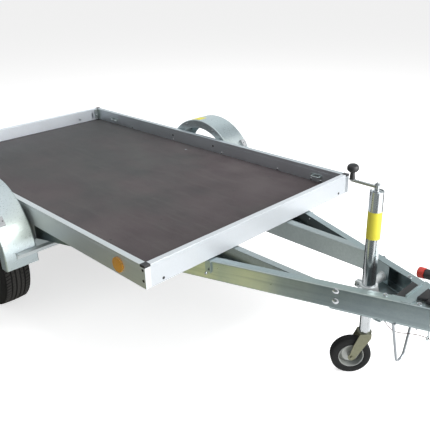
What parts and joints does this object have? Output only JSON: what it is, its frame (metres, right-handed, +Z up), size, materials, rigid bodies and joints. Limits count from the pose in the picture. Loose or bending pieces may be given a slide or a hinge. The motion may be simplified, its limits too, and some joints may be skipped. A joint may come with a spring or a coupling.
{
  "type": "car transporter trailer",
  "caption": "Low single-axle trailer with aluminium side boards, plywood floor on a tilting bed, round fenders, V drawbar, overrun coupling and jockey wheel.",
  "frame": {"origin": "on the ground, under the middle of the trailer's length and width", "axes": "+X forward to the coupling, +Y to the trailer's left, +Z up"},
  "size_m": [4.4584, 2.234, 1.1675],
  "materials": {
    "anodised_board": "satin anodised extrusion",
    "film_plywood": "film-faced plywood, matt",
    "black_plastic": "matt",
    "cable_sheath": "satin red sheath",
    "black_rubber": "matt",
    "tyre_rubber": "matt",
    "jockey_rubber": "matt",
    "orange_lens": "gloss",
    "red_lens": "gloss",
    "clear_lens": "gloss",
    "red_plastic": "satin",
    "bright_zinc": "bright zinc plate",
    "silver_paint": "satin silver paint",
    "passivated_steel": "yellow passivated zinc",
    "dark_steel": "black",
    "fender_sheet": "zinc-coated sheet",
    "galvanised_steel": "hot-dip galvanised"
  },
  "bodies": {
    "chassis": {"drawbar_leg_left": "galvanised_steel", "drawbar_leg_right": "galvanised_steel", "drawbar_plates": "galvanised_steel", "inner_beams": "galvanised_steel", "cross_members": "galvanised_steel", "axle_beam": "galvanised_steel", "axle_brackets": "galvanised_steel", "trailing_arms": "dark_steel", "fender_left": "fender_sheet", "fender_right": "fender_sheet", "fender_struts": "galvanised_steel", "marker_lamps": "clear_lens", "overrun_housing": "dark_steel", "coupling_head": "passivated_steel", "coupling_handle": "passivated_steel", "bellows": "black_rubber", "handbrake_lever": "passivated_steel", "handbrake_grip": "black_plastic", "handbrake_button": "red_plastic", "brake_rod": "passivated_steel", "rest_hoop": "bright_zinc", "jack_clamp": "galvanised_steel", "jack_tube": "bright_zinc", "jack_crank": "bright_zinc", "crank_knob": "black_plastic", "cable_guides": "galvanised_steel", "breakaway_cable": "cable_sheath", "cable_hook": "bright_zinc"},
    "bed": {"side_board_left": "anodised_board", "side_board_right": "anodised_board", "front_board": "anodised_board", "floor_panel": "film_plywood", "bed_bearers": "galvanised_steel", "bed_members": "galvanised_steel", "corner_caps": "black_plastic", "lashing_eyes": "galvanised_steel", "side_reflectors": "orange_lens", "rear_lamps": "red_lens", "rear_catches": "galvanised_steel"},
    "rear_board": {"rear_board": "anodised_board"},
    "wheel_left": {"tyre_left": "tyre_rubber", "wheel_rim_left": "silver_paint", "brake_drum_left": "dark_steel"},
    "wheel_right": {"tyre_right": "tyre_rubber", "wheel_rim_right": "silver_paint", "brake_drum_right": "dark_steel"},
    "jack_leg": {"jack_leg": "bright_zinc"},
    "jockey_fork": {"jockey_fork": "passivated_steel"},
    "jockey_wheel": {"jockey_tyre": "jockey_rubber", "jockey_rim": "silver_paint"}
  },
  "joints": [
    {"name": "bed_tilt", "type": "hinge", "parent": "chassis", "child": "bed", "pos_m": [-0.76805, 0, 0.545], "axis": [0, -1, 0], "range_deg": [0, 16]},
    {"name": "rear_board_drop", "type": "hinge", "parent": "bed", "child": "rear_board", "pos_m": [-2.22005, 0, 0.596], "axis": [0, -1, 0], "range_deg": [0, 180]},
    {"name": "wheel_left_roll", "type": "hinge", "parent": "chassis", "child": "wheel_left", "pos_m": [-0.68005, 1.02, 0.297], "axis": [0, 1, 0], "continuous": true},
    {"name": "wheel_right_roll", "type": "hinge", "parent": "chassis", "child": "wheel_right", "pos_m": [-0.68005, -1.02, 0.297], "axis": [0, 1, 0], "continuous": true},
    {"name": "jack_lift", "type": "slide", "parent": "chassis", "child": "jack_leg", "axis": [0, 0, 1], "range_m": [0, 0.17]},
    {"name": "jockey_swivel", "type": "hinge", "parent": "jack_leg", "child": "jockey_fork", "pos_m": [1.51395, 0, 0.256], "axis": [0, 0, 1], "continuous": true},
    {"name": "jockey_roll", "type": "hinge", "parent": "jockey_fork", "child": "jockey_wheel", "pos_m": [1.46587, -0.04808, 0.11], "axis": [-0.7071, 0.7071, 0], "continuous": true}
  ]
}
